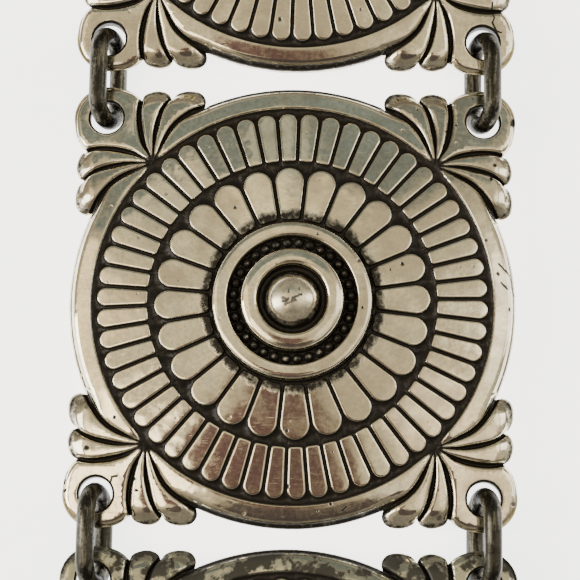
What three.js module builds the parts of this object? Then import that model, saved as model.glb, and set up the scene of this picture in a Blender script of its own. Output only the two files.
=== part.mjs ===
// A concho belt: cast silver-toned conchos with pierced corner tabs, joined in a row by pairs of
// dark oval wire links, with a plain hook clasp at one end. It lies straight along Y, face up, on
// the plane z = 0, with the clasp at the -Y end. Sizes are in millimetres.

import * as THREE from "three";
import { mergeVertices } from "three/addons/utils/BufferGeometryUtils.js";

// Belt
const CONCHO_COUNT = 10;
const CONCHO_GAP = 2.3; // between two neighbours
const SEAT_GAP = 0.5; // between a link's lower strand and the concho lying on it

// Concho rim and back. Heights are above the flat back.
const RIM_RADIUS = 32;
const BAND_WIDTH = 3.1; // smooth band round the petals
const BAND_HEIGHT = 3.0;
const BAND_FALL = 0.4; // from the band's inner edge to its outer edge
const RIM_BEVEL = 0.9;
const BACK_RING_WIDTH = 4.6; // flat ring of the back, outside the hollow
const CAST_WALL = 1.5; // metal between the hollow and the petals

// Petals
const OUTER_PETALS = 54;
const OUTER_PETAL_TURN = 2.03; // degrees from +X to the first groove
const INNER_PETALS = 24;
const INNER_PETAL_TURN = -5.5;
const PETAL_RELIEF = 0.5;
const PETAL_SLOPE = 0.105; // rise of the face per mm towards the middle
const GROOVE_WIDTH = 0.75;
const CHANNEL_WIDTH = 0.85; // ring grooves inside and outside the outer petals
const OUTER_PETAL_LENGTH = 7.3;
const INNER_PETAL_TIP = 1.5; // length of the rounded end

// Boss in the middle
const BOSS_RADIUS = 11.5;
const BOSS_HEIGHT = 3.8; // dome top above the petals' inner ends
const BOSS_SIDES = 12;

// Corner fans and tabs
const TAB_STAND = 6.75; // hole centre outside the rim, along the diagonal
const TAB_THICKNESS = 2.0;
const TAB_WEB = 2.4; // metal outside the hole
const TAB_POINTS = 5; // points round the tab's free edge
const LOBE_SPREAD = 14.3; // degrees from the tab's side to the groove beside the rim
const HOLE_PLAY = 1.15; // all round the wire
const HOLE_SIDES = 8;

// Links
const WIRE_DIAMETER = 2.6;
const WIRE_SIDES = 5;
const LINK_BOW_STEPS = 4; // steps in each half-round end
const STRAND_PLAY = 1.8; // what a link leaves free above and below a tab, in all
const BOW_INSET = 0.35; // how far a bow reaches past its hole's centre
const LINK_LEANS = [22, 20, 21, 23, 18, 22, 19, 22, 21, 17, 23]; // degrees, row by row

// Hook clasp
const CLASP_THICKNESS = 2.0;
const CLASP_WEB = 1.2; // metal between an eye and the bar's inner edge
const HOOK_PLAY = 2.2; // throat's width beyond the wire's
const HOOK_WALL = 2.6;
const HOOK_FINGER = 1.8; // straight length before the finger's round end
const CURVE_STEPS = 4;

// Places worked out from the sizes above
const wireRadius = WIRE_DIAMETER / 2;
const holeRadius = wireRadius + HOLE_PLAY;
const tabRadius = holeRadius + TAB_WEB;
const holeReach = RIM_RADIUS + TAB_STAND;
const holeOffset = holeReach / Math.SQRT2;
const pitch = 2 * Math.max(RIM_RADIUS, holeOffset + tabRadius) + CONCHO_GAP;
const linkLength = pitch - 2 * holeOffset + 2 * BOW_INSET;
const strandSpacing = TAB_THICKNESS + WIRE_DIAMETER + STRAND_PLAY;
const hookThroat = WIRE_DIAMETER + HOOK_PLAY;
const claspBarDepth = holeRadius + CLASP_WEB;
const backHeight = WIRE_DIAMETER + SEAT_GAP;
const firstY = (-(CONCHO_COUNT - 1) * pitch) / 2;
const bandInner = RIM_RADIUS - BAND_WIDTH;
const petalsOuter = bandInner - CHANNEL_WIDTH;
const petalsMiddle = petalsOuter - OUTER_PETAL_LENGTH;
const hollowRadius = RIM_RADIUS - BACK_RING_WIDTH;

// Height of the petals' faces at a radius
function faceHeight(radius) {
  return BAND_HEIGHT + PETAL_SLOPE * (bandInner - radius);
}

// Rings of the boss: radius as a share of BOSS_RADIUS, rise as a share of BOSS_HEIGHT
const BOSS_RINGS = [
  { radius: 0.26, rise: 0.83 }, // dome's shoulder
  { radius: 0.4, rise: 0.38 }, // groove round the dome
  { radius: 0.45, rise: 0.66 }, // inner ring's two edges
  { radius: 0.59, rise: 0.66 },
  { radius: 0.64, rise: 0.08 }, // channel for the beads
  { radius: 0.8, rise: 0.08 },
  { radius: 0.9, rise: 0.38 }, // outer ring's crest
];

// Half of a corner's edge, from the rim to the tab: turn from the tab's side as a share of
// LOBE_SPREAD, reach beyond the rim as a share of TAB_STAND, level as a share of TAB_THICKNESS.
// A row with back: true is also a corner of the flat back.
const FAN_EDGE = [
  { turn: 1.0, reach: 0.02, level: 0.4, back: true }, // groove between rim and first lobe
  { turn: 0.92, reach: 0.3, level: 1.05, back: false },
  { turn: 0.72, reach: 0.5, level: 1.05, back: true },
  { turn: 0.52, reach: 0.5, level: 0.5, back: false }, // groove between the two lobes
  { turn: 0.43, reach: 0.71, level: 1.05, back: false },
  { turn: 0.26, reach: 0.8, level: 1.05, back: true },
  { turn: 0.13, reach: 0.83, level: 0.5, back: false }, // groove between lobe and tab
];
const TAB_SPAN = 82; // degrees from the diagonal to the tab's first point, round the hole

const silver = new THREE.MeshStandardMaterial({ color: 0xb8ad97, roughness: 0.32, metalness: 1 });
const darkWire = new THREE.MeshStandardMaterial({ color: 0x4a463f, roughness: 0.45, metalness: 1 });

const radians = THREE.MathUtils.degToRad;

function polar(radius, angle) {
  return [radius * Math.cos(angle), radius * Math.sin(angle)];
}

// Angle between a corner's diagonal and a row of FAN_EDGE
function fanAngle(row) {
  return Math.atan2(tabRadius, holeReach) + radians(row.turn * LOBE_SPREAD);
}

// One closed surface, built from rows of points that run counter-clockwise seen from +Z
class Skin {
  constructor() {
    this.coords = [];
    this.faces = [];
  }

  point(x, y, z) {
    this.coords.push(x, y, z);
    return this.coords.length / 3 - 1;
  }

  // A face with two corners at one point is left out, which is where two rows meet
  face(a, b, c) {
    if (a !== b && b !== c && c !== a) this.faces.push(a, b, c);
  }

  ring(count, radius, height, turn = 0) {
    return Array.from({ length: count }, (_, k) => {
      const [x, y] = polar(radius, turn + (k * 2 * Math.PI) / count);
      return this.point(x, y, height);
    });
  }

  angle(point) {
    return Math.atan2(this.coords[3 * point + 1], this.coords[3 * point]);
  }

  // Angles along a row, each within half a turn of the one before
  angles(row, start) {
    let last = start;
    return row.map((point) => {
      const step = this.angle(point) - last;
      last += step - 2 * Math.PI * Math.round(step / (2 * Math.PI));
      return last;
    });
  }

  // Fills the band between two rows, the first one nearer the middle or higher up
  zip(inner, outer, flip = false) {
    const a = this.angles(inner, this.angle(inner[0]));
    const b = this.angles(outer, a[0]);
    let i = 0;
    let j = 0;
    while (i < inner.length - 1 || j < outer.length - 1) {
      const innerDone = i === inner.length - 1;
      const outerNext = j < outer.length - 1 && (innerDone || a[i] + a[i + 1] >= b[j] + b[j + 1]);
      const next = outerNext ? outer[j + 1] : inner[i + 1];
      if (flip) this.face(outer[j], inner[i], next);
      else this.face(inner[i], outer[j], next);
      if (outerNext) j += 1;
      else i += 1;
    }
  }

  // The same for two closed rings, starting where they are nearest each other
  zipRings(inner, outer, flip = false) {
    const aim = this.angle(inner[0]);
    const away = (point) => Math.abs(Math.sin((this.angle(point) - aim) / 2));
    const start = outer.reduce((best, point, k) => (away(point) < away(outer[best]) ? k : best), 0);
    const turned = [...outer.slice(start), ...outer.slice(0, start)];
    this.zip([...inner, inner[0]], [...turned, turned[0]], flip);
  }

  // Fills an outline with holes, facing up or down
  fill(outline, holes, up) {
    const flat = (row) => row.map((p) => new THREE.Vector2(this.coords[3 * p], this.coords[3 * p + 1]));
    const contour = flat(outline);
    const gaps = holes.map(flat);
    const points = [outline, ...holes].flat();
    const places = [contour, ...gaps].flat();
    for (const [a, b, c] of THREE.ShapeUtils.triangulateShape(contour, gaps)) {
      const turnsLeft = THREE.ShapeUtils.area([places[a], places[b], places[c]]) > 0;
      if (turnsLeft === up) this.face(points[a], points[b], points[c]);
      else this.face(points[a], points[c], points[b]);
    }
  }

  geometry() {
    const made = new THREE.BufferGeometry();
    made.setAttribute("position", new THREE.Float32BufferAttribute(this.coords, 3));
    made.setIndex(this.faces);
    return made;
  }
}

// A ring of raised petals. The groove beside each one starts at nothing at the inner end and is
// deepest at the outer end, where it opens into the ring groove outside the petals.
function addPetals(skin, { petals, turn, inner, outer, tip }) {
  const count = Math.round(petals);
  const step = (2 * Math.PI) / count;
  const halfGroove = GROOVE_WIDTH / 2 / outer;
  const sideRadius = outer - tip;
  const starts = skin.ring(count, inner, faceHeight(inner), turn);
  const floorHeight = faceHeight(outer) - PETAL_RELIEF;
  const floor = skin.ring(count, outer + CHANNEL_WIDTH / 2, floorHeight, turn);
  const first = skin.ring(count, sideRadius, faceHeight(sideRadius), turn + halfGroove);
  const last = skin.ring(count, sideRadius, faceHeight(sideRadius), turn + step - halfGroove);
  const tips = tip > 0 ? skin.ring(count, outer, faceHeight(outer), turn + step / 2) : last;
  for (let k = 0; k < count; k += 1) {
    const next = (k + 1) % count;
    const before = (k + count - 1) % count;
    skin.face(starts[k], first[k], tips[k]);
    skin.face(starts[k], tips[k], starts[next]);
    skin.face(starts[next], tips[k], last[k]);
    skin.face(starts[k], last[before], floor[k]);
    skin.face(starts[k], floor[k], first[k]);
    skin.face(first[k], floor[k], tips[k]);
    skin.face(tips[k], floor[k], floor[next]);
    skin.face(tips[k], floor[next], last[k]);
  }
  return { starts, floor };
}

// Dome, rings and bead channel. Returns the outermost ring.
function addBoss(skin, base) {
  const top = skin.point(0, 0, base + BOSS_HEIGHT);
  let ring = null;
  for (const row of BOSS_RINGS) {
    const next = skin.ring(BOSS_SIDES, row.radius * BOSS_RADIUS, base + row.rise * BOSS_HEIGHT);
    if (ring) skin.zipRings(ring, next);
    else next.forEach((p, k) => skin.face(top, p, next[(k + 1) % BOSS_SIDES]));
    ring = next;
  }
  return ring;
}

// The edge of one corner at the front and at the back, as rows of points from rim to rim
function cornerEdge(skin, diagonal) {
  const cornerPoint = (row, side, height) => {
    const [x, y] = polar(RIM_RADIUS + row.reach * TAB_STAND, diagonal + side * fanAngle(row));
    return skin.point(x, y, height);
  };
  const sideRow = (side) => {
    const top = FAN_EDGE.map((row) => cornerPoint(row, side, row.level * TAB_THICKNESS));
    const back = FAN_EDGE.filter((row) => row.back).map((row) => cornerPoint(row, side, 0));
    return side < 0 ? { top, back } : { top: top.reverse(), back: back.reverse() };
  };
  const [cx, cy] = polar(holeReach, diagonal);
  const tabRow = (count, height) =>
    Array.from({ length: count }, (_, k) => {
      const [x, y] = polar(tabRadius, diagonal + radians(TAB_SPAN) * ((2 * k) / (count - 1) - 1));
      return skin.point(cx + x, cy + y, height);
    });
  const holeCorner = holeRadius / Math.cos(Math.PI / HOLE_SIDES);
  const holeRow = (height) =>
    Array.from({ length: HOLE_SIDES }, (_, k) => {
      const [x, y] = polar(holeCorner, diagonal + (2 * Math.PI * (k + 0.5)) / HOLE_SIDES);
      return skin.point(cx + x, cy + y, height);
    });
  return {
    before: sideRow(-1),
    after: sideRow(1),
    tab: { top: tabRow(TAB_POINTS, TAB_THICKNESS), back: tabRow(TAB_POINTS - 2, 0) },
    hole: { top: holeRow(TAB_THICKNESS), back: holeRow(0) },
  };
}

// A corner's front: lobes and grooves fan out from the root on the band's inner edge
function addCorner(skin, root, edge, crestEnds) {
  const fan = (row) => row.slice(1).forEach((p, k) => skin.face(root, row[k], p));
  const { tab, hole } = edge;
  fan([crestEnds.before, ...edge.before.top, tab.top[0]]);
  fan([tab.top[TAB_POINTS - 1], ...edge.after.top, crestEnds.after]);
  skin.fill([root, ...tab.top], [hole.top], true);
  hole.top.forEach((p, k) => {
    const next = (k + 1) % HOLE_SIDES;
    skin.face(p, hole.top[next], hole.back[k]);
    skin.face(hole.top[next], hole.back[next], hole.back[k]);
  });
}

function conchoGeometry() {
  const skin = new Skin();
  const quarter = Math.PI / 2;
  const bandSteps = 6; // per quarter
  const freeSteps = 3; // per quarter, on the rim between two corners
  const freeSpan = quarter / 2 - fanAngle(FAN_EDGE[0]);

  const bossEdge = addBoss(skin, faceHeight(BOSS_RADIUS));
  const innerRing = addPetals(skin, {
    petals: INNER_PETALS,
    turn: radians(INNER_PETAL_TURN),
    inner: BOSS_RADIUS,
    outer: petalsMiddle - CHANNEL_WIDTH,
    tip: INNER_PETAL_TIP,
  });
  const outerRing = addPetals(skin, {
    petals: OUTER_PETALS,
    turn: radians(OUTER_PETAL_TURN),
    inner: petalsMiddle,
    outer: petalsOuter,
    tip: 0,
  });
  const band = skin.ring(4 * bandSteps, bandInner, BAND_HEIGHT, quarter / 2);
  skin.zipRings(bossEdge, innerRing.starts);
  skin.zipRings(innerRing.floor, outerRing.starts);
  skin.zipRings(outerRing.floor, band);

  // The rim's free arcs, each between two corners, and the corners themselves
  const crestHeight = BAND_HEIGHT - BAND_FALL;
  const arc = (quarters, radius, height, from, to) =>
    Array.from({ length: to - from + 1 }, (_, k) => {
      const share = (2 * (from + k)) / freeSteps - 1;
      const [x, y] = polar(radius, quarters * quarter + share * freeSpan);
      return skin.point(x, y, height);
    });
  const turns = [0, 1, 2, 3];
  const corners = turns.map((k) => cornerEdge(skin, (k + 0.5) * quarter));
  const crests = turns.map((k) => arc(k + 1, RIM_RADIUS - RIM_BEVEL, crestHeight, 0, freeSteps));
  const backs = turns.map((k) => arc(k + 1, RIM_RADIUS, 0, 1, freeSteps - 1));
  corners.forEach((edge, k) => {
    const root = band[k * bandSteps];
    const nextRoot = band[((k + 1) * bandSteps) % band.length];
    const crestBefore = crests[(k + 3) % 4];
    addCorner(skin, root, edge, { before: crestBefore[freeSteps], after: crests[k][0] });
    const innerRow = [...band.slice(k * bandSteps, (k + 1) * bandSteps), nextRoot];
    skin.zip(innerRow, [root, ...crests[k], nextRoot]);
  });

  const around = (side) => (edge) => [...edge.before[side], ...edge.tab[side], ...edge.after[side]];
  const frontEdge = corners.map(around("top")).flatMap((row, k) => [...row, ...crests[k]]);
  const backEdge = corners.map(around("back")).flatMap((row, k) => [...row, ...backs[k]]);
  skin.zipRings(frontEdge, backEdge);

  // The back: a flat ring with the tabs, round a shallow hollow that follows the front
  const hollowEdge = skin.ring(BOSS_SIDES, hollowRadius, 0);
  const ceilingHeight = faceHeight(BOSS_RADIUS) - CAST_WALL;
  const ceiling = skin.ring(BOSS_SIDES, BOSS_RADIUS, ceilingHeight);
  skin.fill(backEdge, [hollowEdge, ...corners.map((edge) => edge.hole.back)], false);
  skin.zipRings(ceiling, hollowEdge, true);
  skin.fill(ceiling, [], false);
  return skin.geometry();
}

// A closed oval of round wire in the YZ plane: two straight strands and two half-round bows
function linkGeometry() {
  const skin = new Skin();
  const bow = strandSpacing / 2;
  const straight = linkLength / 2 - bow;
  const stations = [];
  for (const end of [1, -1]) {
    for (let k = 0; k <= LINK_BOW_STEPS; k += 1) {
      const angle = (Math.PI * k) / LINK_BOW_STEPS;
      stations.push({ out: [end * Math.sin(angle), end * Math.cos(angle)], shift: end * straight });
    }
  }
  const rings = stations.map(({ out: [oy, oz], shift }) =>
    Array.from({ length: WIRE_SIDES }, (_, k) => {
      const [radial, side] = polar(wireRadius, (2 * Math.PI * k) / WIRE_SIDES);
      return skin.point(side, shift + oy * (bow + radial), oz * (bow + radial));
    })
  );
  rings.forEach((ring, k) => {
    const next = rings[(k + 1) % rings.length];
    ring.forEach((p, s) => {
      const t = (s + 1) % WIRE_SIDES;
      skin.face(p, ring[t], next[s]);
      skin.face(ring[t], next[t], next[s]);
    });
  });
  return skin.geometry();
}

// A flat plate: a bar with an eye at each end, and below each eye a hook whose throat lines up
// with the link that it catches. The eyes are on y = 0 and the hooks point towards -Y.
function claspGeometry() {
  const hookRadius = hookThroat / 2 + HOOK_WALL;
  const hookY = -(claspBarDepth + hookThroat + HOOK_WALL / 2 + HOOK_FINGER);
  const right = holeOffset;
  const outline = [];
  const arc = (x, y, radius, from, to) => {
    const curve = new THREE.EllipseCurve(x, y, radius, radius, radians(from), radians(to), to < from);
    outline.push(...curve.getPoints(CURVE_STEPS));
  };
  // Right half, clockwise from above the eye to the bar's inner edge
  arc(right, 0, tabRadius, 90, 10);
  arc(right, hookY, hookRadius, 0, -180);
  arc(right - hookRadius + HOOK_WALL / 2, hookY + HOOK_FINGER, HOOK_WALL / 2, 180, 0);
  arc(right, hookY, hookThroat / 2, -180, 0);
  outline.push(new THREE.Vector2(right + hookThroat / 2, -claspBarDepth));
  const mirrored = [...outline].reverse().map((p) => new THREE.Vector2(-p.x, p.y));
  const shape = new THREE.Shape([...outline, ...mirrored]);
  for (const side of [-1, 1]) {
    shape.holes.push(new THREE.Path().absarc(side * right, 0, holeRadius, 0, 2 * Math.PI));
  }
  const plate = new THREE.ExtrudeGeometry(shape, {
    depth: CLASP_THICKNESS,
    bevelEnabled: false,
    curveSegments: CURVE_STEPS + 1,
  });
  plate.translate(0, 0, -CLASP_THICKNESS / 2);
  plate.deleteAttribute("normal");
  plate.deleteAttribute("uv");
  return { geometry: mergeVertices(plate), reach: -hookY + hookRadius };
}

const belt = new THREE.Group();
belt.name = "concho_belt";

function add(name, geometry, material, x, y, z) {
  const mesh = new THREE.Mesh(geometry, material);
  mesh.name = name;
  mesh.position.set(x, y, z);
  belt.add(mesh);
  return mesh;
}

const twoDigits = (number) => String(number).padStart(2, "0");
const concho = conchoGeometry();
const link = linkGeometry();

for (let k = 0; k < CONCHO_COUNT; k += 1) {
  add(`concho_${twoDigits(k + 1)}`, concho, silver, 0, firstY + k * pitch, backHeight);
}

// Row 0 carries the clasp, and the last row hangs free for the hooks to catch
for (let row = 0; row <= CONCHO_COUNT; row += 1) {
  const lean = radians(LINK_LEANS[row % LINK_LEANS.length]);
  const y = firstY + (row - 0.5) * pitch;
  const middle = wireRadius + (strandSpacing / 2) * Math.cos(lean);
  const names = { 0: "link_clasp", [CONCHO_COUNT]: "link_catch" };
  const name = names[row] ?? `link_${twoDigits(row)}_${twoDigits(row + 1)}`;
  for (const [sideName, side] of [["left", -1], ["right", 1]]) {
    const mesh = add(`${name}_${sideName}`, link, darkWire, side * holeOffset, y, middle);
    mesh.rotation.y = side * lean;
  }
}

// The clasp lies over the lower strands inside its eyes and on the surface at its hooks
const clasp = claspGeometry();
const droop = Math.asin(backHeight / (clasp.reach + holeRadius / 2));
const eyeHeight = Math.sin(droop) * clasp.reach + Math.cos(droop) * (CLASP_THICKNESS / 2);
const plate = add("clasp_hook", clasp.geometry, silver, 0, firstY - pitch + holeOffset, eyeHeight);
plate.rotation.x = droop;

// The origin is under the middle of the whole belt
const whole = new THREE.Box3().setFromObject(belt, true);
belt.position.y = -whole.getCenter(new THREE.Vector3()).y;

export default belt;
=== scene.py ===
"""A concho belt of cast silver-toned conchos and dark wire links, laid straight on a pale floor."""

import math

import bpy
import numpy as np
from mathutils import Matrix, Vector
from mathutils.geometry import delaunay_2d_cdt


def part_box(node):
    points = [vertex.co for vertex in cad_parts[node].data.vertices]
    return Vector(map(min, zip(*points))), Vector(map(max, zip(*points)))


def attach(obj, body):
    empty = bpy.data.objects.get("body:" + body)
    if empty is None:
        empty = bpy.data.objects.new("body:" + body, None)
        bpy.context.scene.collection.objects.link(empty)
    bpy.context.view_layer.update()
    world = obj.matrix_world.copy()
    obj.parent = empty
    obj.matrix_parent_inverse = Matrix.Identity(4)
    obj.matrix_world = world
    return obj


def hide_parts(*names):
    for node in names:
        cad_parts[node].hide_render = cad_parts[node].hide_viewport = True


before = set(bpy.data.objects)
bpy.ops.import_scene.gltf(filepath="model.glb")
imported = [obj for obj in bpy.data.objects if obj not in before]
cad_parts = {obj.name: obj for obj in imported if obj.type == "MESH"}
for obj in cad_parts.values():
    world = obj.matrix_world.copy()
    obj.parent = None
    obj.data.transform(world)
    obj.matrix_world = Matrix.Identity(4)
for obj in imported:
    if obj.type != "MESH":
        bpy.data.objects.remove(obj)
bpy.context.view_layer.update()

MM = 0.001
TARGET = "concho_05"
RNG = np.random.default_rng(7)

# Concho sizes in millimetres, with heights above its flat back
RIM_RADIUS = 32.0
RIM_EDGE = 1.35
BACK_EDGE = 0.25
CHANNEL_FLOOR = 2.55
BAND_INNER = 28.75
PETALS_RADIUS = 28.9
PETALS_EDGE = 3.0
RINGS_BORDER = 20.2
OUTER_SLOPE = 0.13
INNER_SLOPE = 0.09
PETAL_RELIEF = 0.55
GROOVE = 0.42
FAN_HEIGHT = 3.02
FAN_BEND = 29.5
FAN_END = 34.0
FAN_SLOPE = 0.15
FAN_END_SLOPE = 0.125
CORNER_EDGE = 1.05
NOTCH_FLOOR = 0.6
LOBE_RELIEF = 0.75
TAB_RADIUS = 4.75
HOLE_OFFSET = 27.4
HOLE_RADIUS = 2.4
HOLE_SIDES = 36
HOLE_CENTRE = np.array([HOLE_OFFSET, HOLE_OFFSET])
DOME_HEIGHT = 8.6
BEAD_COUNT = 32
BEAD_CIRCLE = 8.37
BEAD_RADIUS = 0.76
BEAD_FLOOR = 4.92
BEAD_PATINA = 0.53
HOLLOW_RADIUS = 27.4
HOLLOW_HEIGHT = 3.7

# Links and clasp
WIRE_RADIUS = 1.3
STRAND_SPACING = 6.4
LINK_LENGTH = 12.7
PITCH = 66.8
LINK_LEANS = [22, 20, 21, 23, 18, 22, 19, 22, 21, 17, 23]
BACK_HEIGHT = 3.1
CLASP_THICKNESS = 2.0
CLASP_EYE = 2.45
CLASP_EYE_WALL = 4.85
CLASP_BAR_DEPTH = 3.65
CLASP_THROAT = 4.8
CLASP_WALL = 2.6
CLASP_FINGER = 1.8

# Rings of raised petals. Turn is the angle of the first petal's middle, in degrees.
PETAL_RINGS = [
    dict(count=24, turn=2.0, inner=11.85, outer=19.7, tip=2.1, corner=0.35, sides=6),
    dict(count=54, turn=-1.3, inner=20.6, outer=27.95, tip=1.3, corner=0.25, sides=6),
]

# A petal's edge, from the groove's floor to the crown: distance inside the outline, drop below
# the face as a share of the relief, and share of patina
PETAL_EDGE = [
    dict(inset=-0.02, drop=1.0, patina_and_shade=1.0),
    # These two rows, up the groove's wall and onto the bevel, carry patina and painted shade that
    # dims the bevel's bright edge.
    dict(inset=0.05, drop=0.25, patina_and_shade=0.62),
    dict(inset=0.11, drop=0.06, patina_and_shade=0.32),
    dict(inset=0.17, drop=0.01, patina_and_shade=0.0),
    dict(inset=0.34, drop=0.0, patina_and_shade=0.0),
]

# The boss in section, from the dome to the gap round it
BOSS_PROFILE = [
    dict(r=0.6, z=8.57, patina_and_shade=0.0),
    dict(r=1.2, z=8.46, patina_and_shade=0.0),
    dict(r=1.8, z=8.27, patina_and_shade=0.0),
    dict(r=2.3, z=8.04, patina_and_shade=0.0),
    # From r = 2.75 to 3.9 the share is painted shade on the dome's steep flank, growing towards its
    # foot.
    dict(r=2.75, z=7.75, patina_and_shade=0.05),
    dict(r=3.1, z=7.44, patina_and_shade=0.3),
    dict(r=3.4, z=7.09, patina_and_shade=0.52),
    dict(r=3.65, z=6.7, patina_and_shade=0.54),
    dict(r=3.9, z=6.2, patina_and_shade=0.6),
    dict(r=4.05, z=5.85, patina_and_shade=0.8),
    dict(r=4.2, z=5.7, patina_and_shade=1.0),
    dict(r=4.7, z=5.7, patina_and_shade=1.0),
    dict(r=4.82, z=6.2, patina_and_shade=0.9),
    dict(r=4.9, z=6.75, patina_and_shade=0.5),
    dict(r=5.0, z=7.1, patina_and_shade=0.15),
    dict(r=5.15, z=7.3, patina_and_shade=0.0),
    dict(r=5.4, z=7.4, patina_and_shade=0.0),
    dict(r=5.8, z=7.38, patina_and_shade=0.0),
    dict(r=6.3, z=7.31, patina_and_shade=0.0),
    dict(r=6.8, z=7.2, patina_and_shade=0.0),
    dict(r=7.05, z=7.1, patina_and_shade=0.0),
    dict(r=7.22, z=6.9, patina_and_shade=0.05),
    dict(r=7.34, z=6.5, patina_and_shade=0.35),
    dict(r=7.44, z=5.7, patina_and_shade=0.95),
    dict(r=7.55, z=4.95, patina_and_shade=1.0),
    dict(r=9.14, z=4.9, patina_and_shade=1.0),
    dict(r=9.2, z=5.6, patina_and_shade=0.9),
    dict(r=9.28, z=6.05, patina_and_shade=0.35),
    dict(r=9.38, z=6.22, patina_and_shade=0.05),
    dict(r=9.52, z=6.28, patina_and_shade=0.0),
    dict(r=9.9, z=6.27, patina_and_shade=0.0),
    dict(r=10.5, z=6.23, patina_and_shade=0.0),
    dict(r=11.0, z=6.19, patina_and_shade=0.0),
    dict(r=11.18, z=6.1, patina_and_shade=0.0),
    dict(r=11.3, z=5.85, patina_and_shade=0.1),
    dict(r=11.39, z=5.4, patina_and_shade=0.35),
    dict(r=11.46, z=4.9, patina_and_shade=0.75),
    dict(r=11.53, z=4.4, patina_and_shade=1.0),
    dict(r=11.74, z=4.35, patina_and_shade=1.0),
]

# The rim band in section: share of its width, height where the rim is free, and height beside
# the corner lobes
BAND_PROFILE = [
    dict(share=0.015, free=2.95, corner=2.92, patina_and_shade=0.5),
    dict(share=0.035, free=3.1, corner=3.07, patina_and_shade=0.1),
    dict(share=0.06, free=3.16, corner=3.12, patina_and_shade=0.0),
    dict(share=0.09, free=3.15, corner=3.12, patina_and_shade=0.0),
    dict(share=0.25, free=3.05, corner=3.12, patina_and_shade=0.0),
    dict(share=0.4, free=2.95, corner=3.12, patina_and_shade=0.0),
    dict(share=0.55, free=2.85, corner=3.12, patina_and_shade=0.0),
    dict(share=0.7, free=2.74, corner=3.12, patina_and_shade=0.0),
    # From share 0.77 outwards the share is painted shade on the band's outer bevel.
    dict(share=0.77, free=2.55, corner=3.12, patina_and_shade=0.3),
    dict(share=0.82, free=2.15, corner=3.12, patina_and_shade=0.62),
    dict(share=0.88, free=1.84, corner=3.12, patina_and_shade=0.6),
    dict(share=0.95, free=1.76, corner=3.12, patina_and_shade=0.66),
]

# Grooves of one half corner, from the root outwards, and the lobe between each pair, from the
# groove nearer the rim to the next. The other half is their mirror image in the diagonal.
ROOT = (20.36, 20.36)
GROOVES = {
    "rim": [ROOT, (19.6, 22.5), (18.6, 24.9), (17.2, 26.8), (15.3, 28.2), (13.2, 29.16)],
    "lobes": [ROOT, (20.45, 22.7), (20.25, 25.3), (19.65, 28.0), (18.8, 29.5), (18.0, 30.25)],
    "tab": [ROOT, (20.95, 21.6), (21.7, 23.0), (22.45, 25.2), (22.75, 28.0), (22.4, 30.25)],
}
LOBE_ENDS = [
    dict(low="rim", high="lobes", end=[
        (13.2, 29.16), (12.9, 30.3), (13.7, 31.5), (15.6, 31.75), (17.3, 31.3), (18.0, 30.25),
    ]),
    dict(low="lobes", high="tab", end=[
        (18.0, 30.25), (18.3, 31.15), (19.5, 31.65), (20.6, 31.6), (22.0, 31.1), (22.4, 30.25),
    ]),
]

# Shares of a groove's length at which it has points, and distances of the rows beside it
ALONG = np.array([
    0, 0.06, 0.12, 0.18, 0.25, 0.32, 0.39, 0.46, 0.53,
    0.6, 0.67, 0.74, 0.8, 0.86, 0.91, 0.95, 0.98, 1,
])
BESIDE_GROOVE = [0.13, 0.25, 0.38, 0.52, 0.7]

# The back's hollow in section
HOLLOW_PROFILE = [
    dict(r=3.0, z=3.65),
    dict(r=7.0, z=3.5),
    dict(r=11.0, z=3.25),
    dict(r=14.0, z=2.8),
    dict(r=18.0, z=2.1),
    dict(r=22.0, z=1.4),
    dict(r=25.0, z=0.9),
    dict(r=26.6, z=0.55),
    dict(r=27.2, z=0.2),
]

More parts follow.
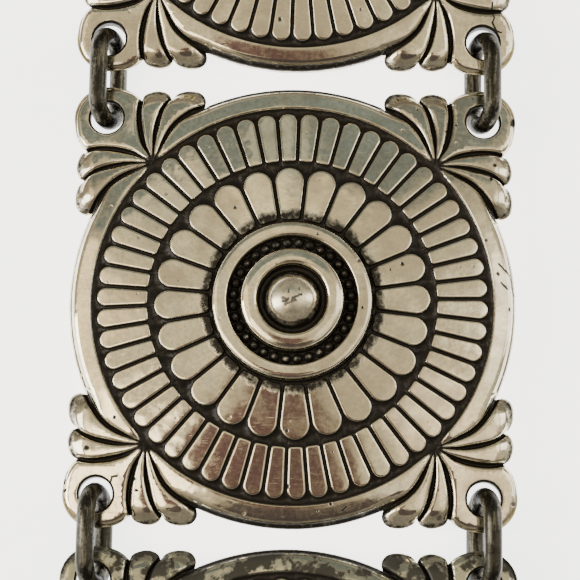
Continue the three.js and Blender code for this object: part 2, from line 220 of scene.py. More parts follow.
# Wear marks on the middle concho, from its centre: start, run, radius, how dark, how ragged
MARKS = [
    dict(x=-1.2, y=-0.7, dx=2.4, dy=1.0, radius=0.2, dark=0.85, ragged=1.2),
    dict(x=-1.2, y=-0.2, dx=1.7, dy=-0.2, radius=0.2, dark=0.7, ragged=1.3),
    dict(x=-0.9, y=-1.1, dx=1.3, dy=0.7, radius=0.2, dark=0.7, ragged=1.3),
    dict(x=-0.5, y=1.0, dx=0.0, dy=-0.4, radius=0.14, dark=0.8, ragged=0.2),
    dict(x=1.0, y=1.4, dx=0.0, dy=-0.4, radius=0.12, dark=0.8, ragged=0.2),
    dict(x=-25.1, y=-25.0, dx=0.7, dy=0.15, radius=0.18, dark=0.9, ragged=0.4),
    dict(x=-25.1, y=-25.0, dx=-0.1, dy=-0.6, radius=0.19, dark=0.9, ragged=0.4),
    dict(x=-32.0, y=-25.9, dx=0.1, dy=0.4, radius=0.29, dark=1.0, ragged=0.4),
    dict(x=-31.8, y=-27.0, dx=0.05, dy=0.1, radius=0.24, dark=1.0, ragged=0.4),
    dict(x=-28.8, y=-21.0, dx=0.05, dy=0.0, radius=0.41, dark=1.0, ragged=0.4),
    dict(x=-22.0, y=-25.3, dx=0.1, dy=0.05, radius=0.26, dark=1.0, ragged=0.3),
    dict(x=-21.6, y=-26.9, dx=0.1, dy=0.0, radius=0.22, dark=1.0, ragged=0.3),
    dict(x=-24.9, y=-16.7, dx=0.0, dy=0.1, radius=0.24, dark=1.0, ragged=0.3),
    dict(x=31.8, y=27.2, dx=0.1, dy=0.5, radius=0.43, dark=1.0, ragged=0.7),
    dict(x=28.5, y=18.7, dx=0.0, dy=0.1, radius=0.26, dark=1.0, ragged=0.3),
    dict(x=29.0, y=20.8, dx=0.1, dy=0.0, radius=0.26, dark=1.0, ragged=0.3),
    dict(x=28.9, y=13.0, dx=0.1, dy=0.2, radius=0.43, dark=0.75, ragged=0.6),
    dict(x=22.0, y=25.7, dx=0.1, dy=0.0, radius=0.22, dark=1.0, ragged=0.2),
    dict(x=29.5, y=6.1, dx=1.6, dy=-1.6, radius=0.15, dark=0.9, ragged=0.35),
    dict(x=29.3, y=4.7, dx=0.1, dy=-0.1, radius=0.22, dark=0.9, ragged=0.3),
    dict(x=29.8, y=3.4, dx=0.9, dy=-0.9, radius=0.16, dark=0.9, ragged=0.35),
    dict(x=31.2, y=4.3, dx=0.5, dy=-2.6, radius=0.15, dark=0.6, ragged=0.4),
    dict(x=31.0, y=-0.3, dx=0.0, dy=-0.3, radius=0.16, dark=0.8, ragged=0.2),
    dict(x=21.0, y=-30.2, dx=0.1, dy=0.1, radius=0.43, dark=0.8, ragged=0.5),
    dict(x=7.4, y=-29.4, dx=0.6, dy=0.6, radius=0.16, dark=1.0, ragged=0.2),
    dict(x=28.8, y=45.4, dx=-0.1, dy=-1.4, radius=0.14, dark=1.0, ragged=0.2),
    dict(x=28.7, y=44.0, dx=0.4, dy=-0.8, radius=0.14, dark=1.0, ragged=0.2),
    dict(x=29.1, y=43.2, dx=-0.3, dy=-0.8, radius=0.14, dark=1.0, ragged=0.2),
    dict(x=28.8, y=42.4, dx=0.6, dy=-1.2, radius=0.16, dark=1.0, ragged=0.2),
    dict(x=29.4, y=41.2, dx=0.7, dy=-0.2, radius=0.17, dark=1.0, ragged=0.3),
    dict(x=-22.9, y=40.5, dx=0.2, dy=0.6, radius=0.19, dark=1.0, ragged=0.3),
    dict(x=-21.9, y=43.2, dx=0.05, dy=0.1, radius=0.18, dark=1.0, ragged=0.3),
]

# The studio round the belt: soft patches of light and shade, each centred at an angle from
# straight up, towards +X and +Y, with its radii of full and no effect in degrees
BACKDROP = (0.32, 0.29, 0.24)
PATCHES = [
    dict(x=-48, y=-22, full=20, none=38, colour=(0.75, 0.62, 0.45)),
    dict(x=58, y=10, full=20, none=30, colour=(0.8, 0.72, 0.55)),
    dict(x=-58, y=10, full=20, none=30, colour=(0.6, 0.52, 0.38)),
    dict(x=0, y=12, full=26, none=56, colour=(1.03, 0.9, 0.63)),
    dict(x=0, y=22, full=5, none=10, colour=(1.36, 1.16, 0.76)),
    dict(x=0, y=35, full=9, none=11, colour=(0.68, 0.66, 0.51)),
    dict(x=0, y=46, full=10, none=14, colour=(0.34, 0.36, 0.31)),
    dict(x=-16, y=36.5, full=9.8, none=11, colour=(0.28, 0.31, 0.29)),
    dict(x=-26, y=31, full=9.8, none=11, colour=(0.29, 0.33, 0.31)),
    dict(x=13, y=34, full=10.5, none=12.5, colour=(0.31, 0.35, 0.33)),
    dict(x=32, y=10, full=9, none=13, colour=(2.8, 2.6, 2.1)),
    dict(x=-32, y=8, full=10, none=14, colour=(2.1, 1.7, 1.1)),
    dict(x=-21.5, y=-11, full=8.5, none=9.8, colour=(5.0, 4.2, 2.9)),
    dict(x=19, y=-5, full=6, none=9, colour=(1.9, 1.6, 1.15)),
    dict(x=20, y=-18, full=6, none=11, colour=(1.5, 1.3, 1.0)),
    dict(x=-6.5, y=-7.2, full=4.6, none=6.8, colour=(0.28, 0.17, 0.155)),
    dict(x=-1.8, y=-8.9, full=7, none=8.4, colour=(0.24, 0.145, 0.135)),
    dict(x=-4, y=-25, full=8.5, none=10, colour=(0.15, 0.12, 0.115)),
    dict(x=9, y=-25, full=9, none=10.5, colour=(0.14, 0.115, 0.11)),
    dict(x=2.5, y=-32, full=14, none=17, colour=(0.13, 0.105, 0.1)),
]

# The camera: turns in degrees, its place in its own axes from the target's centre, in
# millimetres, and its focal length in pixels of the picture
CAMERA_TILT = -10.486
CAMERA_LEAN = -0.423
CAMERA_ROLL = -0.802
CAMERA_PLACE = (-0.333, 2.451, 302.6)
FOCAL_PIXELS = 2100.3
PICTURE_PIXELS = 580
SENSOR_WIDTH = 36

FLOOR_HALF = 3000


def smoothstep(x, low, high):
    t = np.clip((np.asarray(x, float) - low) / (high - low), 0, 1)
    return t * t * (3 - 2 * t)


def face_height(radius):
    """Height of the petals' faces, which are steeper in the outer ring."""
    outer = PETALS_RADIUS - np.maximum(radius, RINGS_BORDER)
    inner = np.maximum(RINGS_BORDER - radius, 0)
    return PETALS_EDGE + OUTER_SLOPE * outer + INNER_SLOPE * inner


def fan_height(xy):
    """Height of the corner fans, which fall from the band to the tabs' ends."""
    radius = np.hypot(xy[:, 0], xy[:, 1])
    near = np.clip(radius - FAN_BEND, 0, FAN_END - FAN_BEND)
    far = np.maximum(radius - FAN_END, 0)
    return FAN_HEIGHT - FAN_SLOPE * near - FAN_END_SLOPE * far


def polar(radius, angle):
    radius, angle = np.broadcast_arrays(radius, angle)
    return np.column_stack([radius * np.cos(angle), radius * np.sin(angle)])


def circle(radius, count):
    """Points at equal turns round a circle."""
    return polar(radius, np.arange(count) * 2 * math.pi / count)


def mirrored(xy):
    """Points mirrored in the first quadrant's diagonal."""
    return np.asarray(xy)[..., ::-1]


def turned(xy, angle):
    c, s = math.cos(angle), math.sin(angle)
    return np.asarray(xy) @ np.array([[c, s], [-s, c]])


def smooth_line(points, shares):
    """A smooth curve by the given points, sampled at shares of its length."""
    line = np.asarray(points, float)
    for _ in range(4):
        a, b = line[:-1], line[1:]
        cut = np.stack([0.75 * a + 0.25 * b, 0.25 * a + 0.75 * b], 1).reshape(-1, 2)
        line = np.vstack([line[:1], cut, line[-1:]])
    length = np.concatenate([[0], np.cumsum(np.hypot(*np.diff(line, axis=0).T))])
    at = np.asarray(shares, float) * length[-1]
    return np.column_stack([np.interp(at, length, line[:, k]) for k in (0, 1)])


def distance_to_line(points, line):
    """Distance of each point from a polyline."""
    a, b = line[:-1], line[1:]
    along = b - a
    t = np.einsum("psk,sk->ps", points[:, None] - a, along) / np.maximum((along**2).sum(1), 1e-12)
    near = a + np.clip(t, 0, 1)[..., None] * along
    return np.linalg.norm(points[:, None] - near, axis=2).min(1)


def inside(points, polygon):
    """Which points lie inside a closed polygon."""
    x, y = points[:, :1], points[:, 1:]
    ax, ay = polygon.T
    bx, by = np.roll(polygon, -1, axis=0).T
    crosses = (ay > y) != (by > y)
    safe = np.where(by == ay, 1.0, by - ay)
    return (crosses & (x < ax + (y - ay) / safe * (bx - ax))).sum(1) % 2 == 1


def inset(line, depth):
    """A closed counter-clockwise line moved inwards."""
    ahead = np.roll(line, -1, axis=0) - np.roll(line, 1, axis=0)
    normal = np.column_stack([-ahead[:, 1], ahead[:, 0]])
    return line + depth * normal / np.maximum(np.linalg.norm(normal, axis=1), 1e-9)[:, None]


class Sheet:
    """Points with a height and a share of patina and painted shade, and the lines that faces must
    follow.
    """

    def __init__(self):
        self.xy, self.z, self.patina_and_shade, self.lines = [], [], [], []
        self.count = 0

    def row(self, xy, z, patina_and_shade=0.0, closed=False, line=True):
        xy = np.asarray(xy, float).reshape(-1, 2)
        ids = np.arange(self.count, self.count + len(xy))
        self.xy.append(xy)
        self.z.append(np.broadcast_to(np.asarray(z, float), len(xy)))
        self.patina_and_shade.append(np.broadcast_to(np.asarray(patina_and_shade, float), len(xy)))
        if line and len(xy) > 1:
            pairs = np.column_stack([ids, np.roll(ids, -1)])
            self.lines.append(pairs if closed else pairs[:-1])
        self.count += len(xy)
        return ids

    def join(self, ids):
        """Faces must also follow the line through these points."""
        self.lines.append(np.column_stack([ids[:-1], ids[1:]]))

    def mesh(self, outline, holes):
        """Vertices, shares of patina and painted shade, and faces inside the outline and outside the
        holes, and where each given point went."""
        all_xy, z, patina_and_shade = np.vstack(self.xy), np.concatenate(self.z), np.concatenate(self.patina_and_shade)
        rounded = np.round(all_xy, 3) + 0.0
        _, first, same = np.unique(rounded, axis=0, return_index=True, return_inverse=True)
        same = same.ravel()
        xy, z, patina_and_shade = all_xy[first], z[first], patina_and_shade[first]
        lines = same[np.vstack(self.lines)]
        lines = lines[lines[:, 0] != lines[:, 1]].tolist()
        made = delaunay_2d_cdt([tuple(p) for p in xy], lines, [], 0, 1e-4)
        flat = np.array([tuple(v) for v in made[0]])
        faces = np.array(made[2])
        where = np.full(len(xy), -1)
        source = np.full(len(flat), -1)
        for new, olds in enumerate(made[3]):
            for old in olds:
                where[old] = new
                source[new] = old
        height, share = z[source], patina_and_shade[source]
        for new in np.flatnonzero(source < 0):
            near = np.argsort(((xy - flat[new]) ** 2).sum(1))[:3]
            height[new], share[new] = z[near].mean(), patina_and_shade[near].mean()
        middle = flat[faces].mean(1)
        keep = inside(middle, all_xy[outline])
        for hole in holes:
            keep &= ~inside(middle, all_xy[hole])
        faces = faces[keep]
        return np.column_stack([flat, height]), share, faces, where[same]


def petal_outline(ring, depth):
    """One petal's outline, counter-clockwise, with its middle line along X."""
    half = math.pi / ring["count"]

    def side(x):
        return x * math.tan(half) - (GROOVE / 2 + depth) / math.cos(half)

    tip_start = ring["outer"] - ring["tip"]
    start = ring["inner"] + depth
    corner = min(ring["corner"], 0.8 * side(start))
    along = np.linspace(start + corner, tip_start, ring["sides"])
    turn = np.linspace(-math.pi / 2, math.pi / 2, 13)[1:-1]
    tip = np.column_stack([
        tip_start + (ring["tip"] - depth) * np.cos(turn),
        side(tip_start) * np.sin(turn),
    ])
    lower = np.column_stack([along, -side(along)])
    upper = lower[::-1] * (1, -1)
    bend = np.array([
        [start + 0.29 * corner, side(start) - 0.29 * corner],
        [start, side(start) - corner],
    ])
    return np.vstack([bend[::-1] * (1, -1), lower, tip, upper, bend])


def smudge(xy):
    """Patina left on the petals close to the boss."""
    return 0.56 * (1 - smoothstep(np.hypot(*xy.T), 12.6, 14.6))


def add_petals(sheet, ring):
    middle = (ring["inner"] + ring["outer"]) / 2
    for k in range(ring["count"]):
        angle = math.radians(ring["turn"]) + k * 2 * math.pi / ring["count"]
        lean_out, lean_side = RNG.normal(0, 0.006), RNG.normal(0, 0.008)
        lift = RNG.normal(0, 0.02)
        for edge in PETAL_EDGE:
            outline = petal_outline(ring, edge["inset"])
            top = face_height(np.hypot(*outline.T)) + lift
            top += lean_out * (outline[:, 0] - middle) + lean_side * outline[:, 1]
            z = top - edge["drop"] * PETAL_RELIEF
            patina_and_shade = np.maximum(edge["patina_and_shade"], smudge(outline))
            sheet.row(turned(outline, angle), z, patina_and_shade, closed=True)
        spine_x = np.arange(ring["inner"] + 0.9, ring["outer"] - 1, 0.8)
        spine = np.column_stack([spine_x, np.zeros(len(spine_x))])
        top = face_height(spine_x) + lift + lean_out * (spine_x - middle)
        sheet.row(turned(spine, angle), top + 0.01 * PETAL_RELIEF, smudge(spine))


def add_boss(sheet):
    sheet.row([(0, 0)], DOME_HEIGHT)
    for ring in BOSS_PROFILE:
        count = int(np.clip(2 * math.pi * ring["r"] / 0.42, 12, 132))
        sheet.row(circle(ring["r"], count), ring["z"], ring["patina_and_shade"], closed=True)
    for k in range(BEAD_COUNT):
        middle = polar(BEAD_CIRCLE, (k + 0.5) * 2 * math.pi / BEAD_COUNT)
        sheet.row(middle, BEAD_FLOOR + BEAD_RADIUS, BEAD_PATINA)
        for share, count in ((0.45, 7), (0.75, 9), (0.92, 11), (1.0, 12)):
            around = middle + circle(share * BEAD_RADIUS, count)
            z = BEAD_FLOOR + BEAD_RADIUS * math.sqrt(1 - share**2)
            patina_and_shade = BEAD_PATINA + (1 - BEAD_PATINA) * share**2
            sheet.row(around, z, patina_and_shade, closed=True)


def groove_floor(line, share):
    """Height along a corner groove: shallow at the root, deepest from its middle to the notch."""
    depth = 0.12 + LOBE_RELIEF * smoothstep(share, 0.05, 0.35)
    floor = fan_height(line) - depth
    return floor + (NOTCH_FLOOR - floor) * smoothstep(share, 0.8, 1.0)


def groove_side(away):
    """Share of a groove's depth at a distance from its middle."""
    return 1 - smoothstep(away, 0.1, 0.62)


def groove_patina(away):
    return 1 - smoothstep(away, 0.28, 0.58)


def lobe_rows(low, high, end, sheet, place):
    """The rounded surface between two grooves, with columns of points that follow both."""
    columns = {}
    for k, share in enumerate(ALONG[1:-1], 1):
        width = np.linalg.norm(high[k] - low[k])
        narrow = min(1, width / 2.2)
        side = np.array(BESIDE_GROOVE) * narrow / width
        used = [0, 1, 2, 3, 4] if width > 0.8 else [1, 4]
        inner = np.linspace(side[-1], 1 - side[-1], max(3, int(width / 0.42)))[1:-1]
        across = np.concatenate([side[used], inner, 1 - side[used][::-1]])
        straight = low[k] + across[:, None] * (high[k] - low[k])
        ends = smooth_line(end, across)
        bulge = ends - (low[-1] + across[:, None] * (high[-1] - low[-1]))
        xy = straight + share**3.5 * bulge
        away = np.minimum(across, 1 - across) * width / narrow
        z = fan_height(xy) - LOBE_RELIEF * narrow * groove_side(away)
        z = z + 0.02 * min(width, 4) * (1 - (2 * across - 1) ** 2)
        z = z - (z - CORNER_EDGE) * smoothstep(share, 0.8, 1.0) ** 1.6
        z = z - (CORNER_EDGE - NOTCH_FLOOR) * smoothstep(share, 0.8, 1.0) * groove_side(away)
        # Towards the free end the lobe also carries painted shade, beside the grooves' patina.
        patina_and_shade = np.maximum(groove_patina(away), 0.56 * smoothstep(share, 0.84, 1.0))
        ids = sheet.row(place(xy), z, np.maximum(patina_and_shade, root_patina(xy)))
        for column, left, right in zip(used, ids, ids[::-1]):
            columns.setdefault(("low", column), []).append(left)
            columns.setdefault(("high", column), []).append(right)
    for ids in columns.values():
        sheet.join(np.array(ids))


def corner_outline():
    """Free edge of the corner on the diagonal of the first quadrant, from the X side to Y."""
    lobes = [smooth_line(lobe["end"], np.linspace(0, 1, 19)) for lobe in LOBE_ENDS]
    start = GROOVES["tab"][-1]
    arc = HOLE_CENTRE + polar(TAB_RADIUS, np.radians(np.linspace(45, 100, 13)))
    side = smooth_line([arc[-1], (25.0, 31.9), (23.4, 31.25), start], np.linspace(0, 1, 10))
    tab = np.vstack([arc[:-1], side])
    upper = np.vstack([tab[:-1], lobes[1][::-1][:-1], lobes[0][::-1]])
    return np.vstack([mirrored(upper[::-1]), upper[1:]])


def concho_sheet():
    """The front, with the points of its outline and of its four holes."""
    sheet = Sheet()
    add_boss(sheet)
    for ring in PETAL_RINGS:
        add_petals(sheet, ring)

    # Lines of one corner, and the free edge of the whole concho
    lines = {name: smooth_line(points, ALONG) for name, points in GROOVES.items()}
    corner = corner_outline()
    first, last = (math.atan2(*corner[k][::-1]) for k in (0, -1))
    free = np.linspace(last, first + math.pi / 2, 44)[1:-1]
    quarter = np.vstack([corner, polar(RIM_RADIUS, free)])
    notches = np.array([line[-1] for line in GROOVES.values()])
    notches = np.vstack([notches, mirrored(notches)])
    to_notch = np.linalg.norm(corner[:, None] - notches, axis=2).min(1)
    corner_z = CORNER_EDGE - (CORNER_EDGE - NOTCH_FLOOR) * groove_side(to_notch)
    edge_z = np.concatenate([corner_z, np.full(len(free), RIM_EDGE)])
    outline = np.vstack([turned(quarter, k * math.pi / 2) for k in range(4)])
    # The free edge carries painted shade, lighter on the tabs and along the belt's two long sides.
    edge_painted_shade = np.where(np.hypot(*outline.T) > 34.6, 0.35, 0.6) * rim_shade_share(outline)
    outline_ids = sheet.row(outline, np.tile(edge_z, 4), edge_painted_shade, closed=True)

    sheet.row(circle(BAND_INNER - 0.08, 240), CHANNEL_FLOOR, 1.0, closed=True)
    hole_ids = []
    for k in range(4):
        hole_ids.append(add_corner(sheet, lines, corner, lambda xy: turned(xy, k * math.pi / 2)))
    return sheet, outline_ids, hole_ids


def beside_line(line, away):
    """A line's points moved to its right, in the direction in which it runs."""
    ahead = np.gradient(line, axis=0)
    normal = np.column_stack([ahead[:, 1], -ahead[:, 0]])
    return line + away * normal / np.linalg.norm(normal, axis=1)[:, None]


def rim_shade_share(xy):
    """Share of the rim edge's painted shade that is kept: a quarter where the edge faces the
    belt's two long sides, all of it where it faces along the belt.
    """
    return 0.25 + 0.75 * smoothstep(np.abs(xy[:, 1]) / np.hypot(*xy.T), 0.3, 0.8)


def root_patina(xy):
    return 0.75 * (1 - smoothstep(np.linalg.norm(xy - np.array(ROOT), axis=1), 0.5, 2.3))


def half_band(sheet, place):
    """The rim band from a corner's diagonal to the middle of the free rim, narrowing to nothing
    at the corner's root."""
    groove = smooth_line(GROOVES["rim"], np.linspace(0, 1, 120))
    groove_turn = np.arctan2(groove[:, 1], groove[:, 0]) - math.pi / 4
    shares = [row["share"] for row in BAND_PROFILE]

    def surface(xy):
        radius = np.hypot(*xy.T)
        off = np.arctan2(xy[:, 1], xy[:, 0]) - math.pi / 4
        outer = np.interp(off, groove_turn, np.hypot(*groove.T), right=RIM_RADIUS)
        width = outer - BAND_INNER
        share = np.clip((radius - BAND_INNER) / np.maximum(width, 0.05), 0, 1)
        free, corner, patina_and_shade = (
            np.interp(share, shares, [row[k] for row in BAND_PROFILE])
            for k in ("free", "corner", "patina_and_shade")
        )
        corner = corner - 0.17 * np.maximum(width * share - 0.3, 0)
        beside = 1 - smoothstep(np.degrees(off), 12, 21)
        narrow = np.clip(width / 2, 0.3, 1)
        to_groove = distance_to_line(xy, groove) / narrow
        z = 2.62 + (free + (corner - free) * beside - 2.62) * np.clip(width / 1.5, 0, 1)
        z = z - LOBE_RELIEF * narrow * beside * groove_side(to_groove)
        near_groove = groove_patina(to_groove) * (off < groove_turn[-1] + 0.02)
        # The painted shade on the band's outer half is thinned along the belt's two long sides.
        patina_and_shade = patina_and_shade * np.where(share > 0.5, rim_shade_share(place(xy)), 1.0)
        patina_and_shade = np.maximum(patina_and_shade * (1 - 0.6 * beside), near_groove)
        return z, np.maximum(patina_and_shade, root_patina(xy)), to_groove, width * share

    off = np.radians(np.append(np.arange(0.6, 44.5, 1.2), 45))
    outer = np.interp(off, groove_turn, np.hypot(*groove.T), right=RIM_RADIUS)
    for share in shares:
        xy = polar(BAND_INNER + share * (outer - BAND_INNER), off + math.pi / 4)
        z, patina_and_shade, to_groove, to_channel = surface(xy)
        keep = (to_channel > 0.08) & ((to_groove > 0.85) | (off > groove_turn[-1] + 0.01))
        sheet.row(place(xy[keep]), z[keep], patina_and_shade[keep])
    for away in BESIDE_GROOVE:
        beside = beside_line(groove, -away)[::3]
        z, patina_and_shade, _, to_channel = surface(beside)
        keep = (to_channel > 0.15) & (np.hypot(*beside.T) < RIM_RADIUS - 0.12)
        sheet.row(place(beside[keep]), z[keep], patina_and_shade[keep])


def tab_distances(points, free_edge, grooves):
    """Distances of points from the tab's free edge, from its nearer groove and from the hole."""
    to_edge = distance_to_line(points, free_edge)
    to_groove = np.minimum(*(distance_to_line(points, groove) for groove in grooves))
    to_hole = np.linalg.norm(points - HOLE_CENTRE, axis=1) - HOLE_RADIUS
    return to_edge, to_groove, to_hole


def tab_points(free_edge, grooves):
    """Points all over a tab, closer together beside its edges, its grooves and the hole."""
    region = np.vstack([free_edge, grooves[0][::-1], grooves[1][1:]])
    grid_x, grid_y = np.meshgrid(np.arange(19, 34, 0.42), np.arange(19, 34, 0.42))
    grid_x[1::2] += 0.21
    grid = np.column_stack([grid_x.ravel(), grid_y.ravel()])
    to_edge, to_groove, to_hole = tab_distances(grid, free_edge, grooves)
    field = [grid[(to_edge > 0.95) & (to_groove > 0.88) & (to_hole > 0.6)]]
    for away in BESIDE_GROOVE:
        beside = beside_line(grooves[0], away)[::2]
        field += [beside, mirrored(beside)]
    for away in (0.1, 0.24, 0.45, 0.75):
        field.append(beside_line(free_edge, -away))
    for away in (0.1, 0.22, 0.4):
        field.append(HOLE_CENTRE + circle(HOLE_RADIUS + away, HOLE_SIDES))
    kept = np.empty((0, 2))
    for points in field[::-1]:
        points = points[inside(points, region)]
        to_edge, to_groove, to_hole = tab_distances(points, free_edge, grooves)
        points = points[(to_edge > 0.08) & (to_groove > 0.1) & (to_hole > 0.07)]
        if len(kept) and len(points):
            gap = np.linalg.norm(points[:, None] - kept[None], axis=2).min(1)
            points = points[gap > 0.085]
        kept = np.vstack([kept, points])
    return kept


def add_tab(sheet, corner, place):
    """The tab's surface and the edge of its hole, whose points are returned."""
    groove = smooth_line(GROOVES["tab"], np.linspace(0, 1, 60))
    grooves = (groove, mirrored(groove))
    start, stop = sorted(np.linalg.norm(corner - line[-1], axis=1).argmin() for line in grooves)
    free_edge = corner[start:stop + 1]
    points = tab_points(free_edge, grooves)
    to_edge, to_groove, to_hole = tab_distances(points, free_edge, grooves)
    to_root = np.linalg.norm(points - ROOT, axis=1)
    narrow = np.clip(to_root / 3.5, 0.3, 1)
    depth = 0.12 + LOBE_RELIEF * smoothstep(to_root, 0.6, 4.0)
    z = fan_height(points) - 0.75 * (1 - np.clip(to_edge / 0.9, 0, 1)) ** 2.5
    z -= depth * groove_side(to_groove / narrow)
    z -= 0.25 * (1 - np.clip(to_hole / 0.32, 0, 1)) ** 2
    patina_and_shade = groove_patina(to_groove / narrow)
    # Round the hole the share is patina and painted shadow of the wire through it.
    patina_and_shade = np.maximum(patina_and_shade, np.clip(1.25 - to_hole / 0.4, 0, 1))
    patina_and_shade = np.maximum(patina_and_shade, root_patina(points))
    sheet.row(place(points), z, patina_and_shade, line=False)
    # The hole's edge is fully dark: patina and painted shadow of the wire.
    hole = HOLE_CENTRE + circle(HOLE_RADIUS, HOLE_SIDES)
    return sheet.row(place(hole), fan_height(hole) - 0.3, 1.0, closed=True)


def add_corner(sheet, lines, corner, place):
    """One corner fan, with the rim band beside it. Returns the points of its hole."""
    sheet.row(place([ROOT]), CHANNEL_FLOOR + 0.05, 1.0)
    for flip in (np.asarray, mirrored):
        half_band(sheet, lambda xy: place(flip(xy)))
        for line in lines.values():
            z = groove_floor(line, ALONG)
            sheet.row(place(flip(line[1:-1])), z[1:-1], 1.0)
        for lobe in LOBE_ENDS:
            low, high = lines[lobe["low"]], lines[lobe["high"]]
            lobe_rows(low, high, lobe["end"], sheet, lambda xy: place(flip(xy)))
    return add_tab(sheet, corner, place)


def wall(below, above):
    """Faces between two loops of equal count, the first one lower, facing out."""
    a, b = np.asarray(below), np.asarray(above)
    a2, b2 = np.roll(a, -1), np.roll(b, -1)
    return np.vstack([np.column_stack([a, a2, b]), np.column_stack([a2, b2, b])])


def back_sheet(outline):
    """The back: a flat ring with the tabs, and a hollow that follows the front."""
    back = Sheet()
    edge_ids = back.row(inset(outline, 0.3), 0.0, 0.2, closed=True)
    hole_ids = []
    for k in range(4):
        hole = turned(HOLE_CENTRE + circle(HOLE_RADIUS, HOLE_SIDES), k * math.pi / 2)
        # The hole's edge on the back is fully dark too, so the hole's wall is patina and painted
        # shadow.
        hole_ids.append(back.row(hole, 0.0, 1.0, closed=True))
    back.row([(0, 0)], HOLLOW_HEIGHT, 0.5)
    for ring in HOLLOW_PROFILE:
        back.row(circle(ring["r"], 72), ring["z"], 0.55, closed=True)
    back.row(circle(HOLLOW_RADIUS, 96), 0.0, 0.25, closed=True)
    return back, edge_ids, hole_ids


def concho_mesh_data():
    """Vertices, shares of patina and painted shade, and faces of one closed concho, on its flat
    back round the origin.
    """
    sheet, outline_ids, hole_ids = concho_sheet()
    points, patina_and_shade, faces, where = sheet.mesh(outline_ids, hole_ids)
    front_edge = where[outline_ids]
    outline = points[front_edge, :2]

    # Two loops of the outer wall, below the front's edge
    sides = len(outline)
    shoulder_z = BACK_EDGE + 0.65 * (points[front_edge, 2] - BACK_EDGE)
    shoulder = np.column_stack([outline, shoulder_z])
    heel = np.column_stack([inset(outline, 0.05), np.full(sides, BACK_EDGE)])
    shoulder_ids = len(points) + np.arange(sides)
    heel_ids = shoulder_ids + sides

    back, edge_ids, rear_ids = back_sheet(outline)
    back_points, back_patina, back_faces, back_where = back.mesh(edge_ids, rear_ids)
    offset = len(points) + 2 * sides
    all_faces = [
        faces,
        wall(shoulder_ids, front_edge),
        wall(heel_ids, shoulder_ids),
        back_faces[:, ::-1] + offset,
        wall(back_where[edge_ids] + offset, heel_ids),
    ]
    for front, rear in zip(hole_ids, rear_ids):
        all_faces.append(wall(back_where[rear] + offset, where[front])[:, ::-1])
    all_points = np.vstack([points, shoulder, heel, back_points])
    # The two loops of the outer wall carry painted shade.
    all_patina_and_shade = np.concatenate([patina_and_shade, np.full(2 * sides, 0.35), back_patina])
    return all_points, all_patina_and_shade, np.vstack(all_faces)


def mesh_object(name, points, faces, patina_and_shade=None):
    mesh = bpy.data.meshes.new(name)
    mesh.from_pydata((np.asarray(points) * MM).tolist(), [], np.asarray(faces).tolist())
    mesh.validate()
    if patina_and_shade is not None:
        attribute = mesh.attributes.new("patina_and_shade", "FLOAT", "POINT")
        attribute.data.foreach_set("value", np.asarray(patina_and_shade, np.float32))
    mesh.polygons.foreach_set("use_smooth", np.ones(len(mesh.polygons), bool))
    made = bpy.data.objects.new(name, mesh)
    bpy.context.scene.collection.objects.link(made)
    return made


